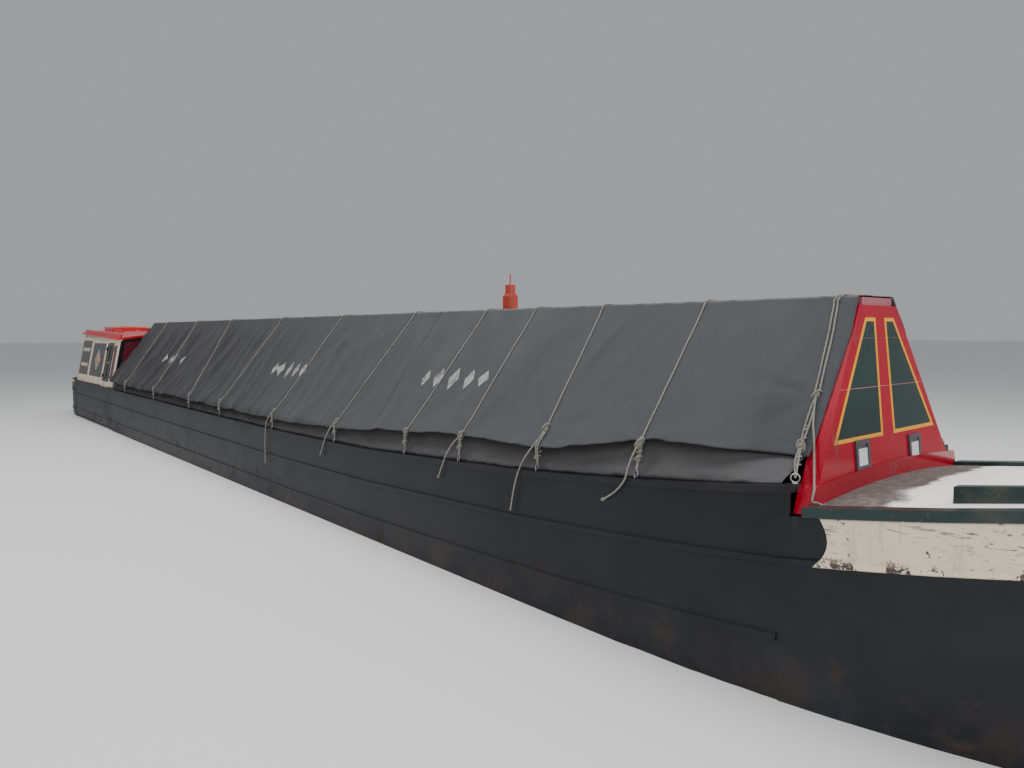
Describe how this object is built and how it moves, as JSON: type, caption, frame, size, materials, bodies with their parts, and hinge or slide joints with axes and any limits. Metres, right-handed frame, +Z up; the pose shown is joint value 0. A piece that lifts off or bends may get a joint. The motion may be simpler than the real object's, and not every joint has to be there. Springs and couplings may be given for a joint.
{
  "type": "full-length narrowboat with clothed hold",
  "caption": "Working canal narrowboat with a sheeted cargo hold, tapering cratch board, telescoping mast, back cabin with opening doors, rounded counter stern, rudder and propeller.",
  "frame": {"origin": "middle of the flat bottom's underside, on the ground", "axes": "+X towards the bow along the boat's length, +Y to port, +Z up"},
  "size_m": [21.8, 2.154, 2.975],
  "materials": {
    "hull": "worn black bitumen paint with dust and rust marks",
    "green_paint": "worn dark green gloss",
    "deck_paint": "faded pale deck paint, worn and dirty",
    "red_paint": "gloss red paint on wood and steel",
    "roof_paint": "gloss red roof paint",
    "maroon_paint": "gloss maroon paint",
    "cream_paint": "aged cream gloss with thin red lines",
    "panel_paint": "dark gloss panel paint",
    "plank_wood": "worn painted softwood planks",
    "top_canvas": "creased dark grey proofed canvas",
    "side_canvas": "faded brown grey proofed canvas",
    "rope": "weathered laid rope",
    "bronze": "dull cast bronze",
    "engine_iron": "green painted cast iron"
  },
  "bodies": {
    "boat": {"bottom_plate": "hull", "hold_side_port": "hull", "hold_side_starboard": "hull", "quarter_port": "hull", "quarter_starboard": "hull", "gunwale_port": "hull", "gunwale_starboard": "hull", "stem_post": "hull", "fore_end": "hull", "bow_band_port": "green_paint", "bow_band_starboard": "green_paint", "foredeck": "deck_paint", "deck_cant_port": "green_paint", "deck_cant_starboard": "green_paint", "tee_stud": "hull", "fore_bulkhead": "hull", "deck_beam": "red_paint", "cratch_board": "red_paint", "top_plank_fore": "plank_wood", "top_plank_mid": "plank_wood", "top_plank_aft": "plank_wood", "mast_beam": "plank_wood", "hold_stand_1": "plank_wood", "hold_stand_2": "plank_wood", "mast": "red_paint", "top_cloth_fore": "top_canvas", "top_cloth_mid": "top_canvas", "top_cloth_aft": "top_canvas", "side_cloth_port": "side_canvas", "side_cloth_starboard": "side_canvas", "swim": "hull", "uxter_plate": "hull", "counter": "hull", "skeg": "hull", "engine_block": "engine_iron", "cabin_roof": "roof_paint", "handrail_port": "roof_paint", "handrail_starboard": "roof_paint", "chimney_collar": "hull", "cabin_front_bulkhead": "maroon_paint", "cabin_rear_bulkhead": "maroon_paint", "cabin_side_port": "cream_paint", "cabin_side_starboard": "cream_paint", "lashing_tail_1": "rope", "lashing_tail_2": "rope", "lashing_tail_3": "rope", "lashing_tail_4": "rope", "lashing_tail_5": "rope", "lashing_tail_6": "rope"},
    "steering": {"rudder": "hull", "tiller": "red_paint"},
    "screw": {"propeller": "bronze"},
    "mast_top": {"mast_head": "red_paint"},
    "slide": {"cabin_slide": "roof_paint"},
    "door_port": {"cabin_door_port": "panel_paint"},
    "door_starboard": {"cabin_door_starboard": "panel_paint"},
    "side_leaf_aft_port": {"side_door_aft_port": "panel_paint"},
    "side_leaf_fore_port": {"side_door_fore_port": "panel_paint"},
    "side_leaf_aft_starboard": {"side_door_aft_starboard": "panel_paint"},
    "side_leaf_fore_starboard": {"side_door_fore_starboard": "panel_paint"}
  },
  "joints": [
    {"name": "rudder_turn", "type": "hinge", "parent": "boat", "child": "steering", "pos_m": [-10.15, 0, 1], "axis": [0, 0, 1], "range_deg": [-55, 55]},
    {"name": "propeller_spin", "type": "hinge", "parent": "boat", "child": "screw", "pos_m": [-9.4903, 0, 0.33], "axis": [1, 0, 0], "continuous": true},
    {"name": "mast_head_raise", "type": "slide", "parent": "boat", "child": "mast_top", "axis": [0, 0, 1], "range_m": [0, 0.5]},
    {"name": "slide_open", "type": "slide", "parent": "boat", "child": "slide", "axis": [0.9994, 0, -0.034], "range_m": [0, 0.7]},
    {"name": "cabin_door_port_swing", "type": "hinge", "parent": "boat", "child": "door_port", "pos_m": [-9.389, 0.28, 1.9], "axis": [0, 0, -1], "range_deg": [0, 165]},
    {"name": "cabin_door_starboard_swing", "type": "hinge", "parent": "boat", "child": "door_starboard", "pos_m": [-9.389, -0.28, 1.9], "axis": [0, 0, 1], "range_deg": [0, 165]},
    {"name": "side_door_aft_port_swing", "type": "hinge", "parent": "boat", "child": "side_leaf_aft_port", "pos_m": [-6.97, 0.927, 1.865], "axis": [0, -0.1961, 0.9806], "range_deg": [0, 165]},
    {"name": "side_door_fore_port_swing", "type": "hinge", "parent": "boat", "child": "side_leaf_fore_port", "pos_m": [-6.4, 0.927, 1.865], "axis": [0, 0.1961, -0.9806], "range_deg": [0, 165]},
    {"name": "side_door_aft_starboard_swing", "type": "hinge", "parent": "boat", "child": "side_leaf_aft_starboard", "pos_m": [-6.97, -0.927, 1.865], "axis": [0, -0.1961, -0.9806], "range_deg": [0, 165]},
    {"name": "side_door_fore_starboard_swing", "type": "hinge", "parent": "boat", "child": "side_leaf_fore_starboard", "pos_m": [-6.4, -0.927, 1.865], "axis": [0, 0.1961, 0.9806], "range_deg": [0, 165]}
  ]
}
